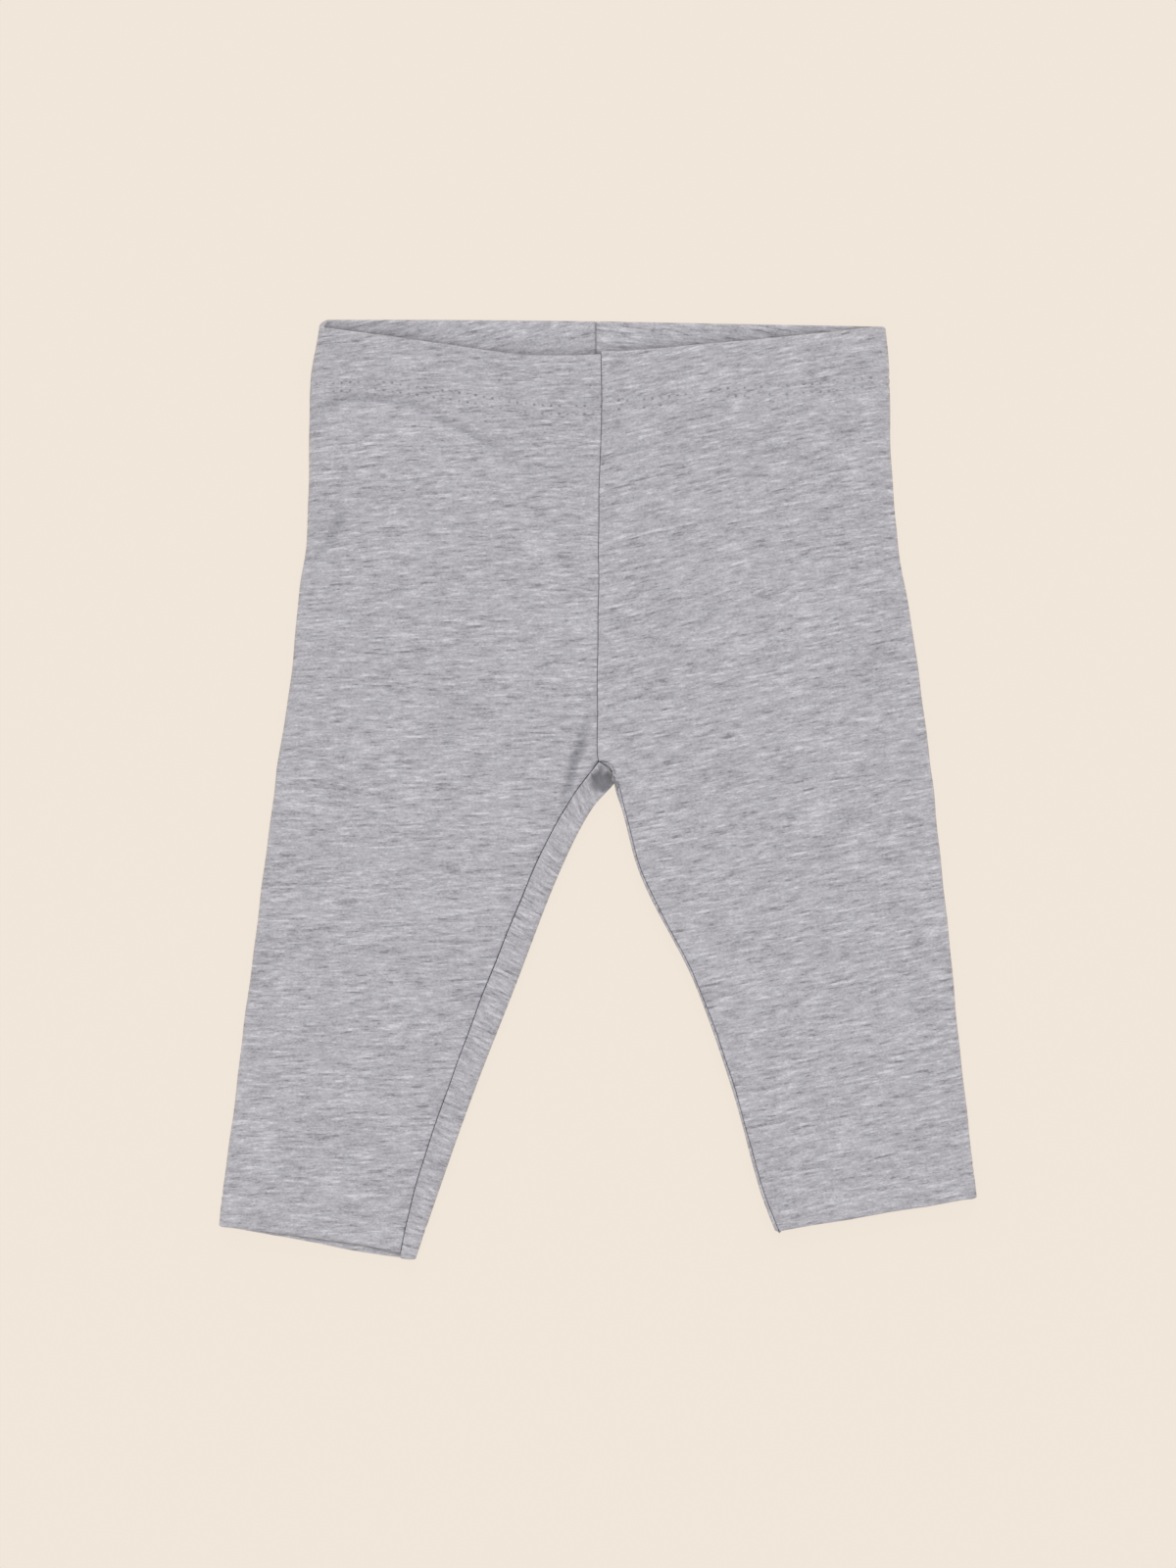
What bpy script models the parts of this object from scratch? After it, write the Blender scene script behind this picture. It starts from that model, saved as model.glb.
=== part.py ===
"""Baby leggings lying flat on their back, waist towards +Y.

Each leg is one panel of knit cloth, folded round the side with no side seam. The two panels meet at the centre
front, at the centre back and, below the crotch, each meets itself along the inside of the leg. The top of each
panel is turned in as the waist casing and its foot is turned up as the hem.

A leg is a stack of sections. Every section runs from the seam across the front, round the side fold, across the
back and, below the crotch, up round the inner fold to the seam again. Tables give a row for each section and for
each crease. The back lies flat on z = 0.
"""

from collections import namedtuple

import bpy
import numpy as np

MM = 0.001  # the tables are in millimetres, the model in metres

WALL = 1.0  # the cloth
SEAM_GAP = 0.3  # between pieces that are sewn together or lie on each other

WAIST_HEIGHT = 6.0  # of the flattened tube: four layers of cloth and the elastic's room
LEG_HEIGHT = 4.0  # of the flattened tube, two layers
HEM_HEIGHT = 5.4  # of the flattened tube, four layers

FRONT_COLUMNS = 18
FOLD_COLUMNS = 6
BACK_COLUMNS = 5
TAIL_COLUMNS = 7
TAIL_DETAIL = 40  # points of the fine line that the tail's columns are read from
LEAST_CURL = 1e-4  # stands for none, so that a flat tail is a bend of a very large radius
BACK_EDGE_GAP = 1.2 * SEAM_GAP  # wider than the seam's, because four edges meet at the crotch

CLOTH_GREY = (0.445, 0.434, 0.462)  # linear
CLOTH_ROUGHNESS = 0.95

# side: the outer fold. inner: the centre back, and below the crotch the inner fold. seam: the centre front, and
# below the crotch the inside seam. sag: how far the middle of the run drops towards the feet. curl: how far the
# back edge has turned up round the inner fold, from 0 to 1. steps: strips of mesh down to the next row.
Section = namedtuple(
    "Section", "side_x side_y inner_x inner_y seam_x seam_y front_sag back_sag curl height steps"
)

RIGHT_LEG = (
    Section(-102.2, 171.0, -0.7, 171.6, 1.4, 160.2, 3.0, 0.0, 0, WAIST_HEIGHT, 3),
    Section(-105.6, 148.5, -0.5, 149.1, 1.1, 137.7, 3.0, 0.0, 0, WAIST_HEIGHT, 2),
    Section(-106.1, 125.0, 0.0, 125.0, 0.4, 120.0, 2.0, 0.0, 0, 4.4, 3),
    Section(-106.8, 97.0, 1.0, 97.0, 0.1, 94.0, 1.0, 0.0, 0, LEG_HEIGHT, 2),
    Section(-109.8, 72.0, 2.0, 72.0, -0.2, 70.0, 0.0, 0.0, 0, LEG_HEIGHT, 3),
    Section(-113.4, 36.0, 4.0, 36.0, -0.4, 36.0, 0.0, 0.0, 0, LEG_HEIGHT, 2),
    Section(-116.9, 14.0, 5.6, 10.0, -0.5, 16.0, 0.0, 0.0, 0, LEG_HEIGHT, 5),
    Section(-118.1, 7.2, 6.1, 1.8, 0.6, 9.4, 0.0, 0.0, 1, LEG_HEIGHT, 1),
    Section(-120.3, -6.0, -1.9, -7.2, -9.7, -3.6, 0.0, 0.0, 1, LEG_HEIGHT, 2),
    Section(-122.8, -26.0, -13.1, -28.8, -22.0, -26.3, 0.0, 0.0, 1, LEG_HEIGHT, 4),
    Section(-128.0, -70.0, -29.6, -72.0, -40.0, -70.2, 0.0, 0.0, 1, LEG_HEIGHT, 4),
    Section(-133.3, -113.0, -46.6, -115.2, -56.2, -113.7, 0.0, 1.0, 1, LEG_HEIGHT, 3),
    Section(-137.8, -148.2, -62.2, -160.0, -69.9, -158.0, 0.0, 1.6, 1, HEM_HEIGHT, 2),
    Section(-139.3, -160.6, -66.7, -172.4, -72.4, -170.3, 0.0, 1.6, 1, HEM_HEIGHT, 0),
)

LEFT_LEG = (
    Section(105.7, 169.9, -0.7, 171.6, 1.4, 160.2, 0.0, 0.0, 0, WAIST_HEIGHT, 3),
    Section(107.5, 147.4, -0.5, 149.1, 1.1, 137.7, 0.0, 0.0, 0, WAIST_HEIGHT, 2),
    Section(107.8, 125.0, 0.0, 125.0, 0.4, 120.0, 0.0, 0.0, 0, 4.4, 3),
    Section(109.6, 97.0, 1.0, 97.0, 0.1, 94.0, 0.0, 0.0, 0, LEG_HEIGHT, 2),
    Section(113.6, 72.0, 2.0, 72.0, -0.2, 70.0, 0.0, 0.0, 0, LEG_HEIGHT, 3),
    Section(119.0, 36.0, 4.0, 36.0, -0.4, 36.0, 0.0, 0.0, 0, LEG_HEIGHT, 2),
    Section(121.9, 14.0, 5.6, 10.0, -0.5, 16.0, 0.0, 0.0, 0, LEG_HEIGHT, 5),
    Section(122.6, 7.2, 6.1, 1.8, 0.6, 9.4, 0.0, 0.0, 1, LEG_HEIGHT, 1),
    Section(123.6, -1.0, 6.5, -1.0, 6.8, 4.3, 0.0, 0.0, 1, LEG_HEIGHT, 1),
    Section(124.2, -8.0, 8.7, -8.0, 11.2, -7.0, 0.0, 0.0, 1, LEG_HEIGHT, 2),
    Section(126.6, -28.8, 14.3, -28.8, 17.0, -28.5, 0.0, 0.0, 1, LEG_HEIGHT, 4),
    Section(130.9, -72.0, 35.1, -72.0, 37.8, -71.6, 0.0, 0.0, 1, LEG_HEIGHT, 4),
    Section(135.0, -112.0, 49.5, -112.5, 52.2, -112.1, 0.0, 0.0, 1, LEG_HEIGHT, 3),
    Section(138.0, -137.6, 61.1, -151.0, 64.3, -150.6, 0.0, 0.5, 1, HEM_HEIGHT, 2),
    Section(139.6, -149.8, 65.7, -162.7, 68.9, -162.3, 0.0, 0.5, 1, HEM_HEIGHT, 0),
)

# Rows of both tables: the casing's lower edge, the crotch, and the hem's upper edge counted from the foot.
CASING_ROW = 1
CROTCH_ROW = 7
HEM_ROWS = 2
INNER_Y = Section._fields.index("inner_y")

# A soft fold of the front cloth: it bends from its start to its end by way of its middle. A trough is negative.
Crease = namedtuple("Crease", "start_x start_y middle_x middle_y end_x end_y half_width height")

CREASES = (
    Crease(-101.0, 144.0, -58.0, 146.0, -27.7, 117.0, 5.0, -1.0),  # pull line under the casing
    Crease(-98.0, 134.0, -74.0, 136.0, -58.0, 120.0, 9.0, 0.9),  # the fullness below it
    Crease(-95.4, 100.8, -101.0, 88.0, -105.5, 77.4, 4.0, -0.7),  # nick at the right side
    Crease(94.7, 133.9, 103.0, 110.0, 105.5, 79.2, 5.0, -0.8),  # trough along the left side
    Crease(-5.4, 20.9, -9.5, 9.0, -13.5, -6.0, 3.5, -0.7),  # drag line beside the crotch
    Crease(-24.0, -22.0, -33.0, -42.0, -44.3, -76.0, 5.0, -0.6),  # the drag line's run down the seam
    Crease(29.9, 16.2, 35.0, -20.0, 46.0, -63.0, 6.0, -0.8),  # trough down the left leg
    Crease(20.5, -12.0, 25.0, -25.0, 33.0, -40.0, 5.0, 0.6),  # its ridge, beside the inner edge
)
CREASE_POINTS = 24
CREASE_END_STRENGTH = 0.37  # of a crease's height, where it starts and ends


def clear_scene():
    for old in list(bpy.data.objects):
        bpy.data.objects.remove(old, do_unlink=True)


def cloth_material(name):
    material = bpy.data.materials.new(name)
    material.use_nodes = True
    shader = material.node_tree.nodes["Principled BSDF"]
    shader.inputs["Base Color"].default_value = (*CLOTH_GREY, 1.0)
    shader.inputs["Roughness"].default_value = CLOTH_ROUGHNESS
    shader.inputs["Metallic"].default_value = 0.0
    return material


def smooth_rows(table):
    """The table's rows with each row's steps between them, on curves that never overshoot."""
    values = np.array(table, dtype=float)
    down = values[0, INNER_Y] - values[:, INNER_Y]
    slope = np.diff(values, axis=0) / np.diff(down)[:, None]
    before, after = slope[:-1], slope[1:]
    turning = before * after <= 0
    mean = 2 * before * after / np.where(turning, 1.0, before + after)
    tangent = np.vstack([slope[:1], np.where(turning, 0.0, mean), slope[-1:]])
    rows = []
    for i, row in enumerate(table[:-1]):
        span = down[i + 1] - down[i]
        for t in np.arange(row.steps) / row.steps:
            rows.append(
                (1 + 2 * t) * (1 - t) ** 2 * values[i]
                + t * (1 - t) ** 2 * span * tangent[i]
                + t**2 * (3 - 2 * t) * values[i + 1]
                + t**2 * (t - 1) * span * tangent[i + 1]
            )
    rows.append(values[-1])
    return [Section(*row) for row in rows]


def leg_rows(table):
    """Both legs share the centre seams, so the body above the crotch is smoothed by itself."""
    body = smooth_rows(table[: CROTCH_ROW + 1])
    leg = smooth_rows(table[CROTCH_ROW:])
    return body[:-1] + leg


def run(start, end, sag, columns):
    """Points along a straight run of cloth whose middle drops by sag."""
    t = np.linspace(0, 1, columns + 1)[:, None]
    points = start + (end - start) * t
    points[:, 1:2] -= sag * np.sin(np.pi * t)
    return points


def fold(outermost, inward, height, columns):
    """Points round the side fold, from the top layer down to the bottom one."""
    radius = height / 2
    angle = np.linspace(0, np.pi, columns + 1)[:, None]
    reach = radius * (1 - np.sin(angle))
    return np.hstack([outermost + inward * reach, radius * (1 + np.cos(angle))])


def tail(edge, inward, seam, height, curl, columns):
    """Points from the back layer to the panel's back edge. With no curl the cloth just runs on flat to that edge.
    With full curl it turns up round the inner fold and runs back along the top to the seam."""
    radius = height / 2
    turn = np.pi * max(curl, LEAST_CURL)
    bend = radius * (1 - curl + np.pi * curl) / turn
    squeeze = radius / (bend * np.sin(min(turn, np.pi / 2)))
    angle = np.linspace(0, turn, TAIL_DETAIL)[:, None]
    plan = edge + inward * (radius - squeeze * bend * np.sin(angle))
    arc = np.hstack([plan, bend * (1 - np.cos(angle))])
    reached = np.clip(2 * curl - 1, 0, 1) ** 2
    t = np.linspace(0, 1, TAIL_DETAIL)[1:, None] * reached
    strip = arc[-1] + t * (np.array([*seam, arc[-1, 2]]) - arc[-1])
    fine = np.vstack([arc, strip]) if reached else arc
    length = np.append(0, np.cumsum(np.linalg.norm(np.diff(fine, axis=0), axis=1)))
    at = np.linspace(0, length[-1], columns + 1)
    return np.column_stack([np.interp(at, length, axis) for axis in fine.T])


def section_points(row, side_sign):
    """The section's outer face, from the front edge round to the back edge."""
    side = np.array([row.side_x, row.side_y])
    inner = np.array([row.inner_x + side_sign * SEAM_GAP / 2, row.inner_y])
    seam = np.array([row.seam_x, row.seam_y])
    outward = (side - inner) / np.linalg.norm(side - inner)
    off_centre = side_sign * np.array([SEAM_GAP / 2, 0])
    front_edge = seam + off_centre
    from_seam = inner + outward * row.height / 2 - seam
    back_edge = front_edge + BACK_EDGE_GAP * from_seam / np.linalg.norm(from_seam)
    side_fold = fold(side, -outward, row.height, FOLD_COLUMNS)
    front = run(np.array([*front_edge, row.height]), side_fold[0], row.front_sag, FRONT_COLUMNS)
    end = tail(inner, outward, back_edge, row.height, row.curl, TAIL_COLUMNS)
    back = run(side_fold[-1], end[0], row.back_sag, BACK_COLUMNS)
    return np.vstack([front[:-1], side_fold[:-1], back[:-1], end])


def crease_heights(points):
    """How far the creases lift each point. They act on the top layer and fade out towards the back."""
    lift = np.zeros(points.shape[:-1])
    t = np.linspace(0, 1, CREASE_POINTS)[:, None]
    for crease in CREASES:
        start = np.array([crease.start_x, crease.start_y])
        middle = np.array([crease.middle_x, crease.middle_y])
        end = np.array([crease.end_x, crease.end_y])
        line = (1 - t) ** 2 * start + 2 * t * (1 - t) * middle + t**2 * end
        away = np.linalg.norm(points[..., None, :2] - line, axis=-1)
        fade = CREASE_END_STRENGTH + (1 - CREASE_END_STRENGTH) * np.sin(np.pi * t[:, 0])
        lift += crease.height * np.max(fade * np.exp(-((away / crease.half_width) ** 2)), axis=-1)
    top = np.clip(points[..., 2] / LEG_HEIGHT, 0, 1) ** 3
    return lift * top


def outer_face(table, side_sign):
    points = np.array([section_points(row, side_sign) for row in leg_rows(table)])
    points[..., 2] += crease_heights(points)
    return points


def outward_normals(points, side_sign):
    down = np.gradient(points, axis=0)
    along = np.gradient(points, axis=1)
    normals = side_sign * np.cross(down, along)
    return normals / np.linalg.norm(normals, axis=2)[..., None]


def cloth(name, points, side_sign, depth, material):
    """A closed wall of cloth whose outer face lies depth inside the given points."""
    normals = outward_normals(points, side_sign)
    faces = [points - depth * normals, points - (depth + WALL) * normals]
    rows, columns = points.shape[:2]
    index = np.arange(2 * rows * columns).reshape(2, rows, columns)
    quads = []
    for r in range(rows - 1):
        for c in range(columns - 1):
            corners = index[:, [r, r + 1, r + 1, r], [c, c, c + 1, c + 1]]
            quads.append(corners[0])
            quads.append(corners[1, ::-1])
    rim = np.hstack([index[:, 0, :-1], index[:, :-1, -1], index[:, -1, :0:-1], index[:, :0:-1, 0]]).T
    for here, there in zip(rim, np.roll(rim, -1, axis=0)):
        quads.append((here[0], there[0], there[1], here[1]))
    if side_sign < 0:
        quads = [quad[::-1] for quad in quads]
    mesh = bpy.data.meshes.new(name)
    corners = np.concatenate(faces).reshape(-1, 3) * MM
    mesh.from_pydata(corners.tolist(), [], np.array(quads).tolist())
    mesh.materials.append(material)
    mesh.shade_smooth()
    piece = bpy.data.objects.new(name, mesh)
    bpy.context.collection.objects.link(piece)
    return piece


def build_leg(side, panel, table, side_sign):
    inside = WALL + SEAM_GAP
    cloth(f"leg_{side}", panel, side_sign, 0.0, cloth_material(f"jersey_{side}"))
    casing_rows = sum(row.steps for row in table[:CASING_ROW]) + 1
    hem_rows = sum(row.steps for row in table[-HEM_ROWS:]) + 1
    turned_in = {"waist_casing": panel[:casing_rows], "hem": panel[-hem_rows:]}
    for name, points in turned_in.items():
        cloth(f"{name}_{side}", points, side_sign, inside, cloth_material(f"{name}_jersey_{side}"))


def main():
    clear_scene()
    right = outer_face(RIGHT_LEG, -1)
    left = outer_face(LEFT_LEG, 1)
    outline = np.vstack([right.reshape(-1, 3), left.reshape(-1, 3)])
    middle = (outline.min(axis=0) + outline.max(axis=0)) / 2 * [1, 1, 0]
    build_leg("right", right - middle, RIGHT_LEG, -1)
    build_leg("left", left - middle, LEFT_LEG, 1)


main()
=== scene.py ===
"""Looks of the baby leggings: two panels of grey melange jersey and their stitching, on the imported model.

Each leg is one closed shell of cloth. Its outer face follows the same sections as the leg's CAD solid:
from the seam across the front, round the side fold, across the back and, below the crotch, up round the
inner fold to the seam again. The shell turns in at the waist as the casing and up at the foot as the hem,
and rolls under along its seams. Tables and constants are in millimetres, with the waist towards +Y and the
back on z = 0. Right and left are the wearer's, so the right leg is at the viewer's left.
"""

from collections import namedtuple

import bpy
import numpy as np
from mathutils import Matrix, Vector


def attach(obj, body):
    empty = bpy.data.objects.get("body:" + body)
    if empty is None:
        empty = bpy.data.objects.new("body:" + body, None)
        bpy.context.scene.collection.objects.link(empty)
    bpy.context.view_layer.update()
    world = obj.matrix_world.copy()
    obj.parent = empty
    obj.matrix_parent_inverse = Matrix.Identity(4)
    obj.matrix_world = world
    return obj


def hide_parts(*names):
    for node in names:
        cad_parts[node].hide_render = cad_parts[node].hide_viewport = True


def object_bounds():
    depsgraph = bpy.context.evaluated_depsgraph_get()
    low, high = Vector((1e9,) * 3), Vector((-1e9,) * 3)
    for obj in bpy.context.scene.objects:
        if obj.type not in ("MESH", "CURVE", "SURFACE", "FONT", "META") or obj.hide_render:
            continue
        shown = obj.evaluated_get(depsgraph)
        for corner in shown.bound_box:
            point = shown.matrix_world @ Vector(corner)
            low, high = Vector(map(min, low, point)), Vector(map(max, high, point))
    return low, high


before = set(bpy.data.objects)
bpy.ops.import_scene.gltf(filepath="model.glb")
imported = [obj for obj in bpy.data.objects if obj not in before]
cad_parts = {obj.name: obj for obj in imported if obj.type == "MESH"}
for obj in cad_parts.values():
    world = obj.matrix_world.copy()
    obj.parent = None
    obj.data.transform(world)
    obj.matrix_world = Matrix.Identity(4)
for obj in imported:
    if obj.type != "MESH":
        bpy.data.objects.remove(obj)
cad_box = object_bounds()

MM = 0.001
SEED = 11

# The cloth, and its seams' edges, which roll under.
CLOTH = 0.8  # thickness of the jersey
CLOTH_AT_SEAM = 0.35
SEAM_ROLL = 0.42  # width of the rolled edge
SEAM_DEPTH = 0.6
SEAM_GAP = 0.04
BACK_EDGE_GAP = 0.07

# The flattened tube.
WAIST_HEIGHT = 6.0  # four layers of cloth and the elastic's room
LEG_HEIGHT = 4.0  # two layers
HEM_HEIGHT = 4.4  # four layers, pressed flat
CASING_DEPTH = 22.5
CASING_ROLL = 1.0  # radius that the cloth turns in with
HEM_DEPTH = 12.5
HEM_ROLL = 0.85

# The mesh. A column runs down the leg and a row runs round it.
FRONT_COLUMNS = 86
FOLD_COLUMNS = 10
BACK_COLUMNS = 26
TAIL_COLUMNS = 28
SIDE_COLUMN = FRONT_COLUMNS + FOLD_COLUMNS // 2  # the outermost
TAIL_COLUMN = FRONT_COLUMNS + FOLD_COLUMNS + BACK_COLUMNS  # the first of the tail
SEAM_GRADING = 1.5  # columns lie closer together towards a seam, as this power
FRONT_FRACTIONS = np.linspace(0, 1, FRONT_COLUMNS + 1) ** SEAM_GRADING
TAIL_DETAIL = 160  # points that the tail is first drawn with
DIRECTION_COLUMNS = 4  # that the front's direction at the side is measured over
SMOOTHINGS = 20
CASING_STEP = 3  # every third row is repeated on the inside of the casing
HEM_STEP = 1  # and every one on the inside of the hem
TURN_ROWS = 7
BODY_ROWS = ((24.0, 0.6), (148.0, 1.6))  # distance down the centre, and spacing of the rows up to there
CROTCH_SPACING = 0.7
LEG_ROWS = (30.0, 1.2)  # the same, down from the crotch
MIDDLE_SPACING = 1.7
FOOT_SPACING = 0.8
FOOT_LENGTH = 20.0  # of the leg that has that spacing
LEAST_CURL = 1e-4  # keeps a flat tail's radius finite
LEAST_STRIP = 1.0  # a narrower strip round the inner fold runs level
LAYER_POWER = 3  # of the share of the height, which keeps a fold to its own layer

# A section across a leg.
#   side: the outer fold
#   inner: the centre back, and below the crotch the inner fold
#   seam: the centre front, and below the crotch the inside seam
#   front_sag, back_sag: how far the middle of the run drops towards the feet
#   curl: how far the back edge has turned up round the inner fold, from 0 to 1
#   height: of the flattened tube
#   reach: of the inner fold, which is pressed flatter on the left leg
Section = namedtuple(
    "Section", "side_x side_y inner_x inner_y seam_x seam_y front_sag back_sag curl height reach"
)
INNER_Y = Section._fields.index("inner_y")
CROTCH_ROW = 7

# One leg.
#   side_sign: -1 where the side lies towards -X, and 1 where it lies towards +X
#   waist_drop: how much lower the front's waist edge lies than its section says, at WAIST_DROP_AT
#   foot_front, foot_back: how far the foot's edge is shifted away from the waist, as pairs of x and shift
#   waist_row: depth of the upper row of stitches below the waist edge, at WAIST_ROW_AT
#   marks: how plainly the needle marks show, their dents and their painted shade, at the waist and at the
#       hem
#   course_slope: of the knitted courses across the front, rise over run
#   course_bow: what that slope gains towards the waist, at the centre and per mm from there
Leg = namedtuple(
    "Leg",
    "name side_sign sections waist_drop foot_front foot_back waist_row marks course_slope course_bow",
)
WAIST_DROP_AT = (0.0, 0.085, 0.23, 0.37, 0.53, 0.78, 1.0)  # from the seam to the side
WAIST_ROW_AT = (0.0, 0.2, 0.45, 0.8, 1.0)

RIGHT_LEG = Leg(
    name="right",
    side_sign=-1,
    sections=(
        Section(-102.2, 172.7, -0.7, 172.1, 1.5, 160.2, 3.0, -0.2, 0, WAIST_HEIGHT, 3.0),
        Section(-105.6, 148.5, -0.5, 149.1, 1.45, 137.7, 3.0, 0.0, 0, WAIST_HEIGHT, 3.0),
        Section(-106.1, 125.0, 0.0, 125.0, 0.78, 120.0, 2.0, 0.0, 0, 4.4, 2.2),
        Section(-107.1, 90.0, 1.25, 90.0, 0.42, 87.5, 0.7, 0.0, 0, LEG_HEIGHT, 2.0),
        Section(-109.8, 72.0, 2.0, 72.0, 0.2, 70.0, 0.0, 0.0, 0, LEG_HEIGHT, 2.0),
        Section(-113.4, 36.0, 4.0, 36.0, 0.0, 36.0, 0.0, 0.0, 0, LEG_HEIGHT, 2.0),
        Section(-116.9, 14.0, 5.6, 10.0, -0.2, 16.0, 0.0, 0.0, 0, LEG_HEIGHT, 2.0),
        Section(-118.1, 7.2, 6.1, 1.8, -0.1, 9.6, 0.0, 0.0, 1, LEG_HEIGHT, 2.0),
        Section(-119.7, -6.0, -1.9, -7.2, -9.7, -3.6, 0.0, 0.0, 1, LEG_HEIGHT, 2.0),
        Section(-122.2, -26.0, -13.1, -28.8, -22.0, -26.3, 0.0, 0.0, 1, LEG_HEIGHT, 2.0),
        Section(-127.9, -70.0, -30.0, -72.0, -40.0, -70.2, 0.0, 0.0, 1, LEG_HEIGHT, 2.0),
        Section(-133.3, -113.0, -46.8, -115.2, -56.2, -113.7, 0.0, 0.6, 1, LEG_HEIGHT, 2.0),
        Section(-137.8, -148.2, -62.5, -160.0, -70.1, -158.6, 0.0, 0.7, 1, HEM_HEIGHT, 2.4),
        Section(-139.3, -160.6, -66.7, -172.4, -72.4, -171.4, 0.0, 0.8, 1, HEM_HEIGHT, 2.4),
    ),
    waist_drop=(0.6, 1.2, 2.0, 1.7, 0.9, 1.5, 3.5),
    foot_front=(
        (-139.3, 0.3), (-124.6, -0.69), (-107.9, -1.15), (-97.2, -1.3), (-87.8, -1.5), (-82.0, -1.3),
        (-77.0, -0.9), (-72.4, -0.8),
    ),
    foot_back=(
        (-139.3, 0.3), (-132.0, 0.1), (-113.0, -0.2), (-102.0, 0.0), (-94.0, 0.5), (-88.0, 0.8),
        (-80.0, 0.9), (-74.0, 1.0), (-70.6, 1.1), (-66.7, 0.9),
    ),
    waist_row=(19.1, 18.5, 17.1, 17.1, 21.0),
    marks=(1.2, 0.12),
    course_slope=0.03,
    course_bow=(0.0, -0.0003),
)

LEFT_FOOT = (
    (65.3, 0.25), (79.0, 0.15), (92.0, 0.42), (107.0, 0.25), (121.0, 0.6), (133.5, 0.35), (138.5, 0.7),
)
LEFT_LEG = Leg(
    name="left",
    side_sign=1,
    sections=(
        Section(105.7, 170.1, -0.7, 172.1, 1.5, 160.2, 0.0, 0.0, 0, WAIST_HEIGHT, 3.0),
        Section(107.5, 147.4, -0.5, 149.1, 1.45, 137.7, 0.0, 0.0, 0, WAIST_HEIGHT, 3.0),
        Section(107.8, 125.0, 0.0, 125.0, 0.78, 120.0, 0.0, 0.0, 0, 4.4, 2.2),
        Section(110.5, 90.0, 1.25, 90.0, 0.42, 87.5, 0.0, 0.0, 0, LEG_HEIGHT, 2.0),
        Section(113.6, 72.0, 2.0, 72.0, 0.2, 70.0, 0.0, 0.0, 0, LEG_HEIGHT, 2.0),
        Section(119.0, 36.0, 4.0, 36.0, 0.0, 36.0, 0.0, 0.0, 0, LEG_HEIGHT, 2.0),
        Section(121.9, 14.0, 5.6, 10.0, -0.2, 16.0, 0.0, 0.0, 0, LEG_HEIGHT, 2.0),
        Section(122.6, 7.2, 6.1, 1.8, -0.1, 9.6, 0.0, 0.0, 1, LEG_HEIGHT, 1.6),
        Section(123.6, -1.0, 6.7, -1.0, 7.0, 3.0, 0.0, 0.0, 1, LEG_HEIGHT, 0.9),
        Section(124.2, -8.0, 9.0, -8.0, 10.1, -7.4, 0.0, 0.0, 1, LEG_HEIGHT, 0.6),
        Section(126.6, -28.8, 14.6, -28.8, 15.6, -28.6, 0.0, 0.0, 1, LEG_HEIGHT, 0.55),
        Section(130.9, -72.0, 35.8, -72.0, 36.8, -71.7, 0.0, 0.0, 1, LEG_HEIGHT, 0.55),
        Section(135.0, -112.0, 50.0, -112.5, 51.0, -112.2, 0.0, 0.0, 1, LEG_HEIGHT, 0.55),
        Section(138.0, -137.6, 60.7, -151.0, 61.9, -150.7, 0.0, 0.1, 1, HEM_HEIGHT, 0.7),
        Section(139.6, -149.8, 65.3, -162.7, 66.5, -162.4, 0.0, 0.1, 1, HEM_HEIGHT, 0.7),
    ),
    waist_drop=(-0.5, 0.25, 0.5, 0.45, 0.75, 0.7, 0.3),
    foot_front=LEFT_FOOT,
    foot_back=LEFT_FOOT,
    waist_row=(18.5, 18.4, 17.2, 18.8, 18.6),
    marks=(1.0, 0.4),
    course_slope=0.19,
    course_bow=(0.07, -0.0006),
)

WAIST_DROP_FADE = 10.0  # depth that the drop fades over
FOOT_FADE = 10.0  # height that the foot's shift fades over

# Seams and side folds wander a little: the size of each wave, and its length divided by 2 pi.
WANDER = ((0.12, 9.0), (0.08, 3.7))
SIDE_PHASE = 2.0

# The course's bow: the heights where it begins and where it is full, and how far from the centre it grows.
BOW_FROM = 30.0
BOW_FULL = 100.0
BOW_REACH = 105.0

# The faint unevenness of cloth that was smoothed by hand.
WAVES = 14
WAVE_LENGTHS = (28.0, 75.0)
WAVE_HEIGHT = 0.07

# A soft fold along a line of points. A trough's height is negative.
#   shade: painted shade on the cloth along it, and painted light where it is negative
#   power: of its profile, 2 where it is rounded and less where it is sharp
Crease = namedtuple("Crease", "half_width height points shade power", defaults=(0.0, 2.0))
CREASE_POINTS = 60
CREASE_END_STRENGTH = 0.35
CREASE_FADE = 0.3  # share of its length that it fades over at each end

PULL_LINE = (
    (-112, 118), (-106.5, 128), (-104.2, 134), (-100.6, 139.2), (-96.5, 141.4), (-91.8, 142.2),
    (-84, 142.5), (-77.7, 142.1), (-72, 141.0), (-66.5, 139.2), (-56.7, 134.0), (-49, 130.4),
    (-42.6, 127.6), (-32.7, 121.8), (-26, 116.8),
)
ABOVE_PULL_LINE = tuple((x + 0.5, y + 1.5) for x, y in PULL_LINE)
BELOW_PULL_LINE = (
    (-103.5, 124), (-101, 133), (-94, 138), (-76, 137.4), (-64, 135.4), (-55, 130), (-43, 121),
)
FULLNESS_LINE = ((-102, 113), (-92, 121), (-76, 122), (-62, 119), (-50, 110))
NICK_LINE = ((-94.8, 107), (-94.8, 98.5), (-97.7, 92), (-101.7, 88.2), (-105.3, 83.2))
DRAG_LINE = ((-3.7, 26.5), (-4.9, 20.9), (-6.3, 15.2), (-8.3, 10.5), (-9.7, 4.8), (-12.5, -7.0))
HOLLOW_LINE = ((0.2, 10.0), (2.0, 9.4), (3.8, 8.7), (4.9, 6.4), (5.4, 3.8))

# A crease's shade paints shade into the cloth's colour along it. The negative ones paint light on the ridge
# and the fullness below the pull line.
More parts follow.
